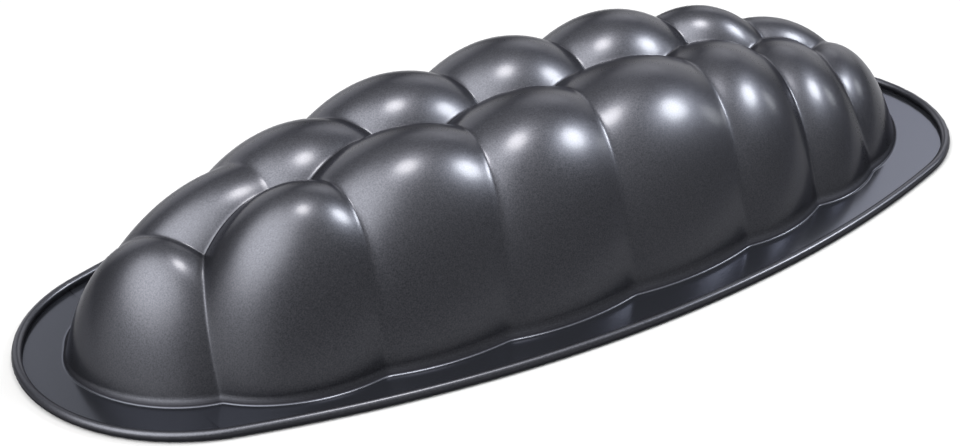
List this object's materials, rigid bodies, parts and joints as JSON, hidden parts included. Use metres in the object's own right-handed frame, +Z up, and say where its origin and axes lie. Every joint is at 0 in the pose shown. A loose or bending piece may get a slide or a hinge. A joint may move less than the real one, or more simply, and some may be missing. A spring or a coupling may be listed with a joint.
{
  "type": "brioche mould",
  "caption": "Oval pressed-steel mould with staggered rows of rounded lobes that shape a plaited brioche, a flat flange and a curled, wired rim.",
  "frame": {"origin": "middle of the plane that the rim rests on, with the mould upside down as in the picture", "axes": "+X along the length, +Z up through the tops of the lobes, +Y across to the back row"},
  "size_m": [0.384, 0.1684, 0.0617],
  "materials": {
    "nonstick_steel": "dark grey metallic non-stick coating, satin, with a fine grain",
    "wire_steel": "plain drawn wire"
  },
  "bodies": {
    "root": {"pressed_shell": "nonstick_steel", "rim_wire": "wire_steel"}
  },
  "joints": []
}
